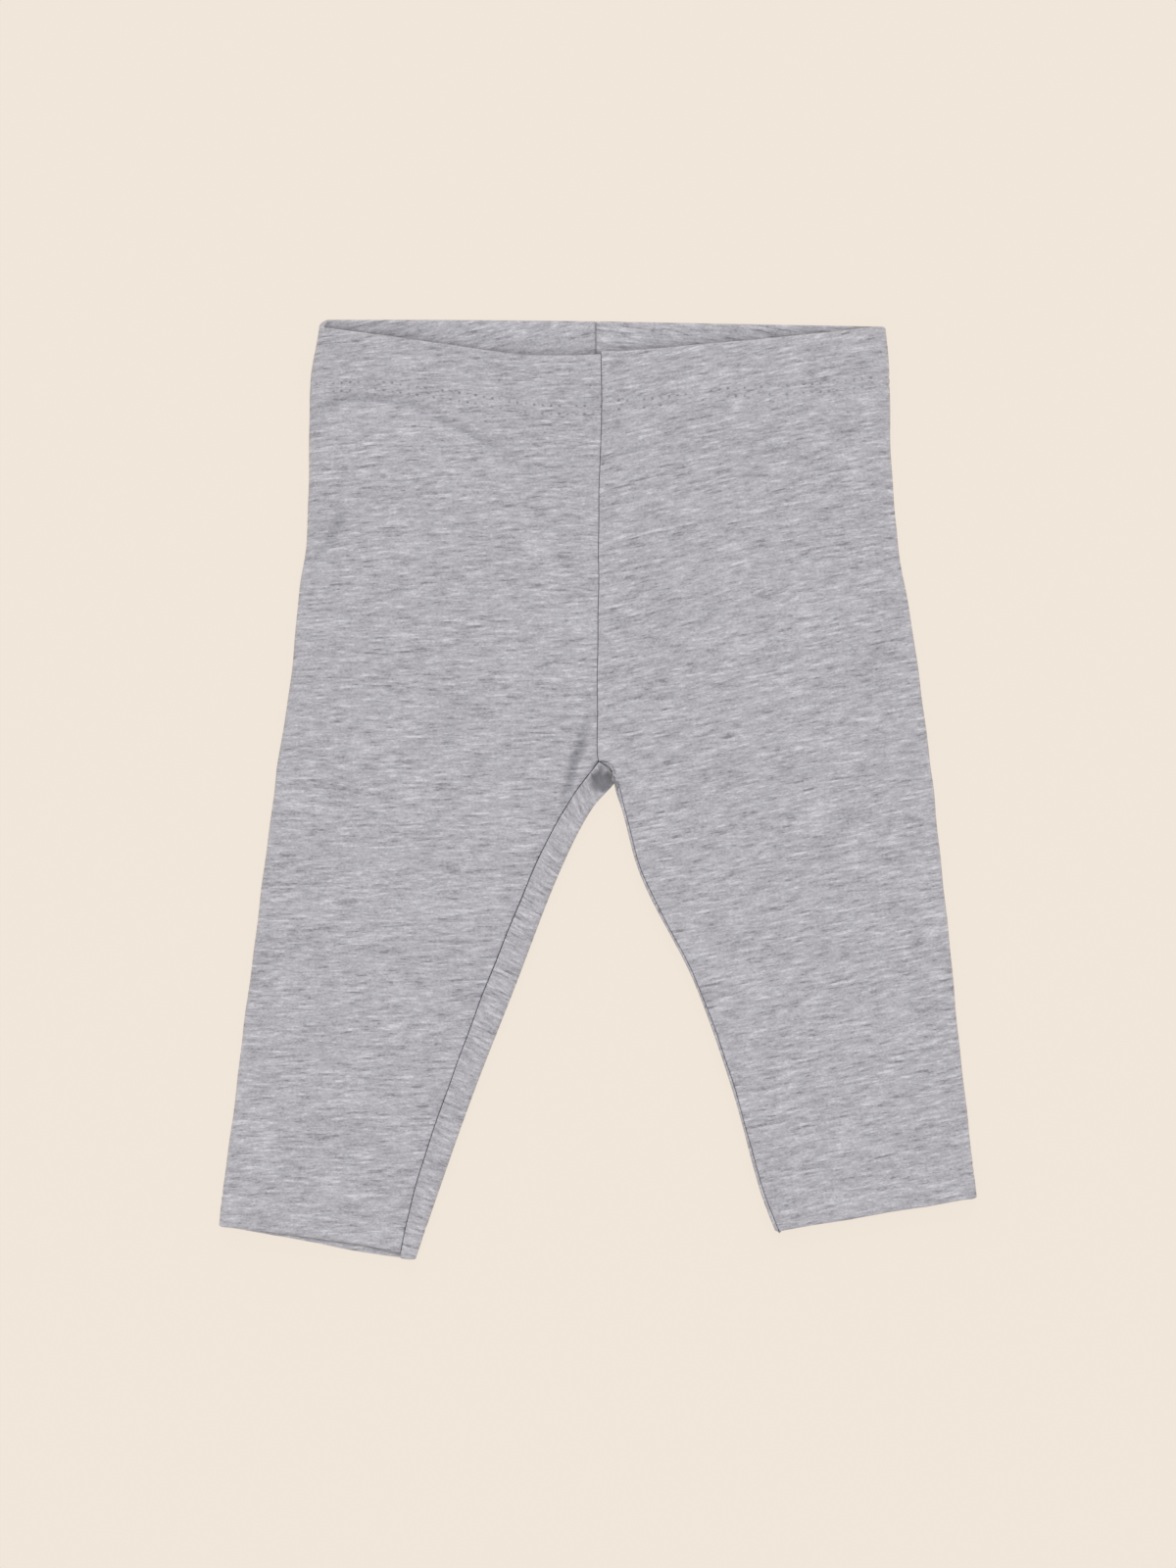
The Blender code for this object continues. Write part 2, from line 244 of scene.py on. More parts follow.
FRONT_CREASES = (
    Crease(2.8, -2.4, PULL_LINE, 0.0, 1.3),  # under the casing
    # Painted shade only, with no fold, along the pull line's upper wall
    Crease(2.0, 0.0, ABOVE_PULL_LINE, 0.1),
    Crease(4.0, 0.6, BELOW_PULL_LINE, -0.04),
    Crease(11.0, 2.0, FULLNESS_LINE, -0.03),
    Crease(30.0, 1.7, ((-76, 88), (-50, 84))),
    Crease(1.9, -1.8, NICK_LINE, 0.15),  # at the right side, with painted shade in its trough
    Crease(3.2, -1.2, ((94.7, 133.9), (101.9, 112.3), (106.9, 79.2))),  # along the left side
    Crease(1.6, -2.7, DRAG_LINE, 0.2),  # from the crotch down the right leg, with painted shade in its trough
    Crease(3.2, -0.9, ((-20.7, -19.8), (-27.9, -34.2), (-37.2, -53.3), (-44.4, -82.1))),
    Crease(3.6, -1.3, ((29.7, 16.2), (34.8, -10.1), (37.6, -31.7), (44.1, -63.0))),  # down the left leg
    Crease(4.4, 1.0, ((20.5, -12.0), (25.0, -25.0), (33.0, -40.0))),  # its ridge, beside the inner edge
    Crease(2.2, -0.9, ((1.5, 30.5), (12.0, 33.4), (24.0, 33.4), (37.0, 30.5))),  # faint arc at the crotch
    Crease(0.6, -0.5, HOLLOW_LINE, 0.35),  # a shallow trough with a line of painted shade, along the edge over the hollow
)

# The back lies on the floor, so its folds stand up into the leg.
BACK_CREASES = (
    Crease(6.0, 0.9, ((-92, 128), (-50, 133), (-14, 118))),
    Crease(5.0, 0.8, ((18, 120), (52, 130), (92, 124))),
    Crease(5.0, 0.9, ((-8, 40), (-22, 24), (-40, 12))),
    Crease(6.0, 0.9, ((14, 42), (30, 28), (52, 20))),
    Crease(6.0, 0.8, ((-96, 20), (-102, -12), (-108, -46))),
    Crease(5.0, 0.8, ((104, 10), (102, -24), (110, -60))),
)

# Where the four seams meet, the cloth of both legs is pushed aside.
BULGE = (3.0, 7.0)
BULGE_SHIFT = (1.8, 1.6)
BULGE_REACH = 3.2

# There the end of the right leg's strip is drawn down into the leg.
HOLLOW = (1.6, 2.9)
HOLLOW_REACH = 4.7
HOLLOW_EDGE = 2.2  # the larger, the sharper
HOLLOW_DEPTH = 2.4
HOLLOW_SHADE = 0.5  # painted shade on the cloth in it, on top of the shade its depth gives
HOLLOW_CALM = 0.75  # how much fainter its melange is there, as in deep shade

# The cloth beside the seams, over the allowances.
CENTRE_LIP = 0.15  # height of the left leg's edge along the centre front
CENTRE_LIP_WIDTH = 1.0
INSEAM_DIP = 0.32  # depth of the right leg's front along the inside seam
INSEAM_DIP_WIDTH = 2.4
INSEAM_DRAW = 2.0  # at the crotch it is deeper by this share of its depth
INSEAM_DRAW_REACH = 10.0
INSEAM_LIP = 0.35  # height of the strip on its other side
INSEAM_LIP_WIDTH = 1.3

# Painted shade on the back's inside, which shows above the front's waist edge: how strong it is, and over
# which distance.
MOUTH_SHADE = 0.24  # where it disappears under that edge
MOUTH_REACH = 0.8
CORNER_SHADE = 0.12  # at the side, where front and back meet
CORNER_REACH = 32.0
BACK_SEAM_SHADE = 0.3  # along the centre back seam
BACK_SEAM_REACH = 0.5
INSIDE_LIGHT = 0.025  # painted light: all of it is lighter by this

# Painted shade on the hem's inside, which shows a little below the front's edge at the foot.
FOOT_SHADE = 0.85  # along that edge, growing from nothing at the side
FOOT_REACH = 0.5
FOOT_LIGHT = 0.15  # painted light: all of it is lighter by this

# The twin rows of stitches.
ROW_DISTANCE = 3.0
STITCH_PITCH = 3.1
BACK_WAIST_ROW = 19.0  # depth of the upper row below the back's waist edge
HEM_ROW = 9.0  # height of the lower row above the foot
STITCH_GROOVE = 0.22
STITCH_GROOVE_WIDTH = 0.7
NEEDLE_HOLE = 0.42  # radius of the dent round a needle hole
NUMBERS_APART = 37  # numbering of the twin row's stitches, so that their depths differ
STITCH_SHARE = (0.12, 0.88)  # of the pitch, between one needle hole and the next
STITCH_STATIONS = 7
THREAD = 0.15  # radius
THREAD_SIDES = 6
THREAD_ARCH = 2.1  # height of a stitch's arch, in thread radii
THREAD_DIVE = 1.4  # depth of its ends
THREAD_ROUNDNESS = 0.6  # the smaller, the flatter its top
THREAD_PINCH = 0.45  # share of the radius at its ends
THREAD_GRAIN = 0.25

JERSEY_DARK = (0.274, 0.268, 0.297)
JERSEY_GREY = (0.475, 0.469, 0.507)
JERSEY_LIGHT = (0.681, 0.674, 0.719)
FLOOR_COLOUR = (0.878, 0.797, 0.706)

# A noise over the cloth. along, across: size of its grains along the knitted courses and across them.
Grain = namedtuple("Grain", "along across offset detail weight")
DASHES = (Grain(12.0, 0.9, 3.1, 4.0, 0.61), Grain(5.0, 0.5, 47.3, 2.0, 0.43))
DASH_ROUGHNESS = 0.68
DASH_CONTRAST = 14.0  # how far the darkest and lightest dashes stand out from the rest
BAND_STRIDE = 7.31  # apart enough that neighbouring bands have nothing in common
SOFTNESS = (
    Grain(0.9, 0.4, 77.7, 1.0, 0.30),
    Grain(9.0, 1.2, 21.9, 2.0, 0.11),
    Grain(30.0, 12.0, 91.7, 1.0, 0.035),
)
COURSE_DRIFT = Grain(16.0, 7.0, 63.1, 1.0, 1.2)
FUZZ = Grain(0.5, 0.22, 13.9, 2.0, 0.8)
FUZZ_ROUGHNESS = 0.6
OFFSET_RATIO = 1.7  # of a grain's offset across the courses to that along them

WALE = 0.62  # width of a column of loops
COURSE = 0.5  # height of a row of loops
LOOP_SLANT = 1.3  # of a chevron's arms, in rows per column
LOOP_FLATNESS = 3.0  # the larger, the narrower the grooves between the columns
KNIT_RELIEF = 0.6  # in bump heights, as are the next one and the fuzz's weight
MARK_RELIEF = -2.5
# painted shade in the needle holes, taken off the yarn's shade
MARK_SHADE = -0.42

# The floor's share of light that it gives off itself, like a light table, so that shadows stay faint.
FLOOR_GLOW = 0.92
FLOOR_REACH = 2000.0  # to where it sweeps up
SWEEP = 1200.0  # radius
SWEEP_STEPS = 8
FLOOR_SIDES = 96
FLOOR_DROP = 0.1  # below the cloth
SKY = 0.87  # share of the light that comes evenly from all round
SUN_TILT = 68.0  # the rest comes from beyond the waist, at this angle from straight above
SUN_WIDTH = 30.0

PHOTO_PIXEL = 0.36  # size on the cloth
PHOTO_SIZE = (1200, 1600)
PHOTO_ORIGIN = (610.4, 806.1)  # the frame's origin in the photograph
LENS = 100.0
SENSOR = 36.0


def unit(vectors):
    return vectors / np.linalg.norm(vectors, axis=-1)[..., None]


def bell(distance, width):
    return np.exp(-((distance / width) ** 2))


def lengths_along(points, axis):
    """Distance of each point from the first one, along the rows (axis 1) or down the columns (axis 0)."""
    steps = np.linalg.norm(np.diff(points, axis=axis), axis=-1)
    start = np.zeros_like(points[..., 0].take([0], axis=axis))
    return np.concatenate([start, np.cumsum(steps, axis=axis)], axis=axis)


def smoothed(values):
    """The values, each mixed with its neighbours many times over. The first and the last stay."""
    for _ in range(SMOOTHINGS):
        values[1:-1] = (values[:-2] + 2 * values[1:-1] + values[2:]) / 4
    return values


def normals(points, side_sign):
    """Outward normals. The sign is needed because the two legs' rows run opposite ways round."""
    across = np.cross(np.gradient(points, axis=0), np.gradient(points, axis=1))
    return side_sign * unit(across)


def stations(*stretches):
    """Distances from 0 on, over stretches that each have an end and a spacing."""
    places = [0.0]
    for end, spacing in stretches:
        count = max(1, round((end - places[-1]) / spacing))
        places.extend(np.linspace(places[-1], end, count + 1)[1:])
    return np.array(places)


def smooth_rows(sections, places):
    """The sections at these distances down the inner edge, on curves that don't overshoot the table."""
    values = np.array(sections, dtype=float)
    down = values[0, INNER_Y] - values[:, INNER_Y]
    slope = np.diff(values, axis=0) / np.diff(down)[:, None]
    before, after = slope[:-1], slope[1:]
    turning = before * after <= 0
    mean = 2 * before * after / np.where(turning, 1.0, before + after)
    tangent = np.vstack([slope[:1], np.where(turning, 0.0, mean), slope[-1:]])
    i = np.clip(np.searchsorted(down, places, side="right") - 1, 0, len(down) - 2)
    span = (down[i + 1] - down[i])[:, None]
    t = (places - down[i])[:, None] / span
    rows = (
        (1 + 2 * t) * (1 - t) ** 2 * values[i]
        + t * (1 - t) ** 2 * span * tangent[i]
        + t**2 * (3 - 2 * t) * values[i + 1]
        + t**2 * (t - 1) * span * tangent[i + 1]
    )
    return [Section(*row) for row in rows]


def leg_rows(sections):
    """The leg's rows and the number of the one at the crotch. Both legs share the centre seams, so the
    body above the crotch is smoothed by itself. The rows stop short of the waist and the foot by the
    radius that the cloth turns in with."""
    body_length = sections[0].inner_y - sections[CROTCH_ROW].inner_y
    leg_length = sections[CROTCH_ROW].inner_y - sections[-1].inner_y
    body = CASING_ROLL + stations(*BODY_ROWS, (body_length - CASING_ROLL, CROTCH_SPACING))
    leg = stations(
        LEG_ROWS, (leg_length - FOOT_LENGTH, MIDDLE_SPACING), (leg_length - HEM_ROLL, FOOT_SPACING)
    )
    above = smooth_rows(sections[: CROTCH_ROW + 1], body[:-1])
    below = smooth_rows(sections[CROTCH_ROW:], leg)
    return above + below, len(above)


def run(start, end, sag, fractions):
    """Points along a straight run of cloth whose middle drops by sag."""
    points = start + (end - start) * fractions[:, None]
    points[:, 1] -= sag * np.sin(np.pi * fractions)
    return points


def fold(outermost, inward, height):
    """Points round the side fold, from the top layer down to the bottom one."""
    radius = height / 2
    angle = np.linspace(0, np.pi, FOLD_COLUMNS + 1)[:, None]
    reach = radius * (1 - np.sin(angle))
    return np.hstack([outermost + inward * reach, radius * (1 + np.cos(angle))])


def tail(edge, inward, reach, seam, height, curl):
    """Points from the back layer to the panel's back edge. With no curl the cloth just runs on flat to
    that edge. With full curl it turns up round the inner fold and runs back along the top to the seam."""
    radius = height / 2
    turn = np.pi * max(curl, LEAST_CURL)
    bend = radius * (1 - curl + np.pi * curl) / turn
    squeeze = reach / (bend * np.sin(min(turn, np.pi / 2)))
    angle = np.linspace(0, turn, TAIL_DETAIL)[:, None]
    plan = edge + inward * (reach - squeeze * bend * np.sin(angle))
    arc = np.hstack([plan, bend * (1 - np.cos(angle))])
    reached = np.clip(2 * curl - 1, 0, 1) ** 2
    t = np.linspace(0, 1, TAIL_DETAIL)[1:, None] * reached
    strip = arc[-1] + t * (np.array([*seam, arc[-1, 2]]) - arc[-1])
    fine = np.vstack([arc, strip]) if reached else arc
    length = lengths_along(fine, 0)
    at = length[-1] * (1 - np.linspace(1, 0, TAIL_COLUMNS + 1) ** SEAM_GRADING)
    return np.column_stack([np.interp(at, length, axis) for axis in fine.T])


def wander(y, phase=0.0):
    """How far a seam or side fold strays from its smooth line."""
    return sum(size * np.sin(y / length + phase) for size, length in WANDER)


def section_points(row, side_sign):
    """The section's outer face, from the front edge round to the back edge."""
    side = np.array([row.side_x + wander(row.side_y, SIDE_PHASE), row.side_y])
    inner = np.array([row.inner_x + side_sign * SEAM_GAP / 2, row.inner_y])
    seam = np.array([row.seam_x + wander(row.seam_y), row.seam_y])
    outward = unit(side - inner)
    front_edge = seam + side_sign * np.array([SEAM_GAP / 2, 0])
    back_edge = front_edge + BACK_EDGE_GAP * unit(inner + outward * row.reach - seam)
    side_fold = fold(side, -outward, row.height)
    front = run(np.array([*front_edge, row.height]), side_fold[0], row.front_sag, FRONT_FRACTIONS)
    end = tail(inner, outward, row.reach, back_edge, row.height, row.curl)
    back = run(side_fold[-1], end[0], row.back_sag, np.linspace(0, 1, BACK_COLUMNS + 1))
    return np.vstack([front[:-1], side_fold[:-1], back[:-1], end])


def waist_drop(points, level, drops):
    """How far each point moves down because the front's waist edge hangs lower than the back's."""
    drop = np.full(points.shape[1], drops[-1])
    drop[: FRONT_COLUMNS + 1] = np.interp(FRONT_FRACTIONS, WAIST_DROP_AT, drops)
    return smoothed(drop) * level * bell(lengths_along(points, 0), WAIST_DROP_FADE)


def foot_shift(points, front, back):
    """What moves each point down or up the leg because the foot's edge isn't straight."""
    x = points[..., 0]
    shift = np.interp(x, *zip(*back))
    shift[:, :SIDE_COLUMN] = np.interp(x[:, :SIDE_COLUMN], *zip(*front))
    height = lengths_along(points[::-1], 0)[::-1]
    down = unit(np.gradient(points[..., :2], axis=0))
    return (shift * bell(height, FOOT_FADE))[..., None] * down


def crotch_bulge(points):
    """What pushes each point near the crotch aside."""
    away = np.linalg.norm(points[..., :2] - BULGE, axis=-1)
    return bell(away, BULGE_REACH)[..., None] * BULGE_SHIFT


def crease_fields(creases, plan):
    """How far the creases lift each point of a plan view, and how much painted shade they put on it, which
    is painted light where it is negative.
    """
    lift = np.zeros(plan.shape[:-1])
    shade = np.zeros(plan.shape[:-1])
    t = np.linspace(0, 1, CREASE_POINTS)
    inside = np.clip(np.minimum(t, 1 - t) / CREASE_FADE, 0, 1)
    fade = CREASE_END_STRENGTH + (1 - CREASE_END_STRENGTH) * inside
    for crease in creases:
        corners = np.array(crease.points, dtype=float)
        at = lengths_along(corners, 0)
        line = np.column_stack([np.interp(t * at[-1], at, axis) for axis in corners.T])
        away = np.linalg.norm(plan[..., None, :] - line, axis=-1)
        strength = np.max(fade * np.exp(-((away / crease.half_width) ** crease.power)), axis=-1)
        lift += crease.height * strength
        shade += crease.shade * strength
    return lift, shade


def unevenness(plan):
    """The faint waves of the cloth, the same on both legs."""
    rng = np.random.default_rng(SEED)
    lift = np.zeros(plan.shape[:-1])
    for _ in range(WAVES):
        angle, phase = rng.uniform(0, 2 * np.pi, 2)
        wave_length = rng.uniform(*WAVE_LENGTHS)
        along = plan @ np.array([np.cos(angle), np.sin(angle)])
        lift += WAVE_HEIGHT * np.sin(2 * np.pi * along / wave_length + phase)
    return lift


def seam_relief(points, level, crotch, side_sign):
    """How far the cloth stands up or sinks beside its seams, where the allowances lie under it. The inside
    seam starts at the crotch row, where it is drawn in most."""
    from_front = lengths_along(points, 1)
    from_back = from_front[:, -1:] - from_front
    relief = np.zeros(points.shape[:2])
    if side_sign > 0:
        relief[:crotch] += CENTRE_LIP * bell(from_front[:crotch], CENTRE_LIP_WIDTH)
    else:
        below = lengths_along(points[crotch:], 0)
        dip = INSEAM_DIP * (1 + INSEAM_DRAW * bell(below, INSEAM_DRAW_REACH))
        relief[crotch:] -= dip * bell(from_front[crotch:], INSEAM_DIP_WIDTH)
        relief[crotch:] += INSEAM_LIP * bell(from_back[crotch:], INSEAM_LIP_WIDTH)
    return relief * level**LAYER_POWER


def strip_hollow(points, level, side_sign):
    """How deep each point is in the hollow at the upper end of the right leg's strip, from 0 to 1. It sets
    both the hollow's depth and its painted shade.
    """
    away = np.linalg.norm(points[..., :2] - HOLLOW, axis=-1)
    hollow = np.clip(HOLLOW_EDGE * (1 - (away / HOLLOW_REACH) ** 2), 0, 1)
    hollow[:, :TAIL_COLUMN] = 0
    return hollow * level if side_sign < 0 else np.zeros_like(hollow)


def mirrored(directions, lines):
    """Directions as they are after the cloth is folded over lines."""
    return 2 * np.sum(directions * lines, axis=-1)[..., None] * lines - directions


def unfolded(points):
    """Where each point is on the cloth opened out round the front: flat coordinates in which the front
    stays put and the back and the strip round the inner fold lie beyond the side."""
    plan = points[..., :2]
    along = lengths_along(points, 1)
    rows = np.arange(len(points))
    outward = unit(plan[:, SIDE_COLUMN] - plan[:, TAIL_COLUMN])
    inner = TAIL_COLUMN + np.argmin(np.sum(plan[:, TAIL_COLUMN:] * outward[:, None], axis=-1), axis=1)

    side_x, side_y = plan[:, SIDE_COLUMN].T
    side_slope = np.polynomial.Polynomial.fit(side_y, side_x, 2).deriv()
    side_line = unit(np.column_stack([side_slope(side_y), np.ones(len(points))]))
    inner_line = unit(np.gradient(smoothed(plan[rows, inner]), axis=0))

    onward = unit(plan[:, FRONT_COLUMNS] - plan[:, FRONT_COLUMNS - DIRECTION_COLUMNS])
    back_way = mirrored(-outward, side_line)
    strip = plan[:, -1] - plan[rows, inner]
    strip = np.where(np.linalg.norm(strip, axis=-1)[:, None] > LEAST_STRIP, strip, outward)
    strip_way = mirrored(mirrored(unit(strip), inner_line), side_line)

    flat = plan.copy()
    for r in rows:
        for start, end, way in (
            (FRONT_COLUMNS, SIDE_COLUMN, onward[r]),
            (SIDE_COLUMN, inner[r], back_way[r]),
            (inner[r], points.shape[1] - 1, strip_way[r]),
        ):
            further = along[r, start + 1 : end + 1] - along[r, start]
            flat[r, start + 1 : end + 1] = flat[r, start] + way * further[:, None]
    return flat


def course_places(flat, slope, bow):
    """Each point's place on the cloth: along the knitted courses, and across them."""
    x, y = flat[..., 0], flat[..., 1]
    near = np.clip(x, -BOW_REACH, BOW_REACH)
    bowed = bow[0] * x + bow[1] * (near**2 + 2 * near * (x - near))
    share = np.clip((y - BOW_FROM) / (BOW_FULL - BOW_FROM), 0, 1)
    rise = slope * x + share**2 * (3 - 2 * share) * bowed
    return np.stack([x + slope * y, y - rise, np.zeros_like(x)], axis=-1) / np.hypot(1, slope)


def outer_face(leg):
    """The outer face of a leg's cloth with its creases: its points, their flat coordinates, their share of
    the tube's height, the painted shade that the creases put on them, and the number of the row at the
    crotch."""
    rows, crotch = leg_rows(leg.sections)
    face = np.array([section_points(row, leg.side_sign) for row in rows])
    flat = unfolded(face)
    heights = np.array([row.height for row in rows])[:, None]
    level = np.clip(face[..., 2] / heights, 0, 1)
    face[..., 1] -= waist_drop(face, level, leg.waist_drop)
    face[..., :2] += foot_shift(face, leg.foot_front, leg.foot_back)
    face[..., :2] += crotch_bulge(face)
    plan = face[..., :2]
    front_lift, shade = crease_fields(FRONT_CREASES, plan)
    back_lift, _ = crease_fields(BACK_CREASES, plan)
    face[..., 2] += level**LAYER_POWER * (front_lift + unevenness(plan))
    face[..., 2] += (1 - level) ** LAYER_POWER * back_lift
    return face, flat, level, shade * level, crotch


def waist_row_depths(depths, columns):
    """Depth of the waist's upper row of stitches in each column: across the front as the table says, then
    changing evenly to the back's."""
    across = np.interp(FRONT_FRACTIONS, WAIST_ROW_AT, depths)
    onward = np.linspace(depths[-1], BACK_WAIST_ROW, BACK_COLUMNS)
    rest = np.full(columns - len(across) - len(onward), BACK_WAIST_ROW)
    return np.concatenate([across, onward, rest])


def past_stitches(face, waist_row):
    """How far each point lies from the waist's upper row, counted down, or from the hem's lower row,
    counted up, whichever is less. The twin row is ROW_DISTANCE further on."""
    from_waist = CASING_ROLL + lengths_along(face, 0) - waist_row_depths(waist_row, face.shape[1])
    from_foot = HEM_ROLL + lengths_along(face[::-1], 0)[::-1] - HEM_ROW
    return np.minimum(from_waist, from_foot)


def sampled(grid, rows, columns):
    """The grid's values at these fractional rows and columns."""
    r = np.clip(rows.astype(int), 0, grid.shape[0] - 2)
    c = np.clip(columns.astype(int), 0, grid.shape[1] - 2)
    a, b = (rows - r)[:, None], (columns - c)[:, None]
    upper = grid[r, c] * (1 - b) + grid[r, c + 1] * b
    lower = grid[r + 1, c] * (1 - b) + grid[r + 1, c + 1] * b
    return upper * (1 - a) + lower * a


def row_of_stitches(face, normal, distances):
    """The line where the distances pass 0: its points, the normals there, and the length to each."""
    rows = []
    for column in distances.T:
        passing = np.flatnonzero((column[:-1] <= 0) != (column[1:] <= 0))[0]
        before, after = column[passing], column[passing + 1]
        rows.append(passing + before / (before - after))
    rows = np.array(rows)
    columns = np.arange(face.shape[1], dtype=float)
    path = sampled(face, rows, columns)
    return path, sampled(normal, rows, columns), lengths_along(path, 0)


def stitches(path, facing, length):
    """Rings of the thread's little arches between needle holes, shaped (stitches, stations, sides, 3)."""
    count = int(length[-1] / STITCH_PITCH)
    start = np.arange(count)[:, None] * STITCH_PITCH
    t = np.linspace(0, 1, STITCH_STATIONS)
    low, high = STITCH_SHARE
    at = start + STITCH_PITCH * (low + (high - low) * t)
    middle = np.stack([np.interp(at, length, axis) for axis in path.T], axis=-1)
    up = unit(np.stack([np.interp(at, length, axis) for axis in facing.T], axis=-1))
    arch = THREAD * (THREAD_ARCH * np.sin(np.pi * t) ** THREAD_ROUNDNESS - THREAD_DIVE)
    middle = middle + up * arch[:, None]
    forward = unit(np.gradient(middle, axis=1))
    beside = unit(np.cross(forward, up))
    over = np.cross(beside, forward)
    angle = np.linspace(0, 2 * np.pi, THREAD_SIDES, endpoint=False)
    radius = THREAD * (THREAD_PINCH + (1 - THREAD_PINCH) * np.sqrt(np.sin(np.pi * t)))
    ring = np.cos(angle)[:, None] * beside[..., None, :] + np.sin(angle)[:, None] * over[..., None, :]
    return middle[..., None, :] + radius[:, None, None] * ring


def sewn(face, leg):
    """The face pressed in along its stitches, each point's place on the rows of stitches, and the rings of
    thread. A place is the length along the first row, that along its twin, and how far past the first."""
    facing = normals(face, leg.side_sign)
    past = past_stitches(face, leg.waist_row)
    place = np.zeros_like(face)
    place[..., 2] = past
    rings = []
    half = len(face) // 2
    for end in (slice(0, half), slice(half, None)):
        for part, twin in enumerate((0.0, ROW_DISTANCE)):
            path, up, length = row_of_stitches(face[end], facing[end], past[end] - twin)
            place[end, :, part] = length
            rings.append(stitches(path - STITCH_GROOVE * up, up, length))
    groove = bell(past, STITCH_GROOVE_WIDTH) + bell(past - ROW_DISTANCE, STITCH_GROOVE_WIDTH)
    return face - STITCH_GROOVE * groove[..., None] * facing, place, np.concatenate(rings)


def turned_in(points, normal, flat, radius, depth, step):
    """Rows of cloth turned in over the first of these rows: round the edge, then back along the inside.
    Returns their points and their flat coordinates."""
    upward = unit(points[0] - points[2])
    flat_upward = unit(flat[0] - flat[2])
    place, opened = [], []
    for angle in np.linspace(0, np.pi, TURN_ROWS + 1)[1:-1]:
        place.append(points[0] + radius * (normal[0] * (np.cos(angle) - 1) + upward * np.sin(angle)))
        opened.append(flat[0] + flat_upward * radius * angle)
    down = lengths_along(points, 0).mean(axis=1)
    for r in np.flatnonzero(down < depth - radius)[::step]:
        place.append(points[r] - 2 * radius * normal[r])
        opened.append(flat[0] + flat_upward * np.pi * radius + flat[0] - flat[r])
    return np.array(place), np.array(opened)


def beyond_front(turned, outward):
    """How far the back half's turned-in cloth lies beyond the front's edge. outward is 1 at the waist and
    -1 at the foot."""
    front_x = turned[0, : SIDE_COLUMN + 1, 0]
    front_y = (outward * turned[:, : SIDE_COLUMN + 1, 1]).max(axis=0)
    order = np.argsort(front_x)
    back = turned[:, SIDE_COLUMN:]
    return np.maximum(outward * back[..., 1] - np.interp(back[..., 0], front_x[order], front_y[order]), 0)


def mouth_shade(casing):
    """How much painted shade each point of the casing has, whose back half shows above the front's edge.
    Where it is negative, it is painted light.
    """
    back = casing[:, SIDE_COLUMN:]
    shade = np.zeros(casing.shape[:2])
    shade[:, SIDE_COLUMN:] -= INSIDE_LIGHT
    shade[:, SIDE_COLUMN:] += MOUTH_SHADE * bell(beyond_front(casing, 1), MOUTH_REACH)
    shade[:, SIDE_COLUMN:] += CORNER_SHADE * bell(back[..., 0] - casing[0, SIDE_COLUMN, 0], CORNER_REACH)
    shade[:, SIDE_COLUMN:] += BACK_SEAM_SHADE * bell(back[..., 0] - back[:, -1:, 0], BACK_SEAM_REACH)
    return shade


def foot_shade(hem):
    """How much painted shade each point of the hem has, whose back half shows a little below the front's
    edge. Where it is negative, it is painted light.
    """
    back = hem[:, SIDE_COLUMN:]
    side_x = hem[0, SIDE_COLUMN, 0]
    across = np.clip((back[..., 0] - side_x) / (hem[0, 0, 0] - side_x), 0, 1)
    line = FOOT_SHADE * across * bell(beyond_front(hem, -1), FOOT_REACH)
    shade = np.zeros(hem.shape[:2])
    shade[:, SIDE_COLUMN:] = np.where(back[..., 2] < HEM_HEIGHT / 2, line - FOOT_LIGHT, 0)
    return shade


def rolled_under(shell, side_sign):
    """The shell with its seams' edges rolled under, and the thickness of its cloth at each point."""
    from_front = lengths_along(shell, 1)
    from_seam = np.minimum(from_front, from_front[:, -1:] - from_front)
    rolled = np.clip(1 - from_seam / SEAM_ROLL, 0, 1)
    drop = SEAM_DEPTH * (1 - np.sqrt(1 - rolled**2))
    thickness = CLOTH + (CLOTH_AT_SEAM - CLOTH) * rolled
    return shell - drop[..., None] * normals(shell, side_sign), thickness


def mesh_piece(name, points, faces, material):
    """A smooth-shaded mesh object from points in millimetres."""
    mesh = bpy.data.meshes.new(name)
    mesh.from_pydata((points * MM).tolist(), [], faces)
    mesh.shade_smooth()
    mesh.materials.append(material)
    piece = bpy.data.objects.new(name, mesh)
    bpy.context.collection.objects.link(piece)
    return piece


def cloth_piece(name, points, side_sign, thickness, material):
    """A closed wall of cloth behind the given outer face."""
    layers = np.array([points, points - thickness[..., None] * normals(points, side_sign)])
    rows, columns = points.shape[:2]
    index = np.arange(2 * rows * columns).reshape(2, rows, columns)
    quads = np.stack([index[:, :-1, :-1], index[:, 1:, :-1], index[:, 1:, 1:], index[:, :-1, 1:]], axis=-1)
    rim = np.hstack([index[:, 0, :-1], index[:, :-1, -1], index[:, -1, :0:-1], index[:, :0:-1, 0]]).T
    following = np.roll(rim, -1, axis=0)
    wall = np.column_stack([rim[:, 0], following[:, 0], following[:, 1], rim[:, 1]])
    faces = np.vstack([quads[0].reshape(-1, 4), quads[1].reshape(-1, 4)[:, ::-1], wall])
    return mesh_piece(name, layers.reshape(-1, 3), faces[:, ::side_sign].tolist(), material)


def thread_piece(name, rings, material):
    """One joined mesh of all the stitches, each closed at its ends."""
    index = np.arange(rings[..., 0].size).reshape(rings.shape[:3])
    around = np.roll(index, -1, axis=2)
    quads = np.stack([index[:, :-1], index[:, 1:], around[:, 1:], around[:, :-1]], axis=-1).reshape(-1, 4)
    caps = index[:, 0].tolist() + index[:, -1, ::-1].tolist()
    return mesh_piece(name, rings.reshape(-1, 3), quads.tolist() + caps, material)


def store(piece, name, vectors):
    """Keeps a vector for each point of the cloth, the same on its two faces, for its material."""
    attribute = piece.data.attributes.new(name, "FLOAT_VECTOR", "POINT")
    attribute.data.foreach_set("vector", np.concatenate([vectors, vectors]).astype(np.float32).ravel())


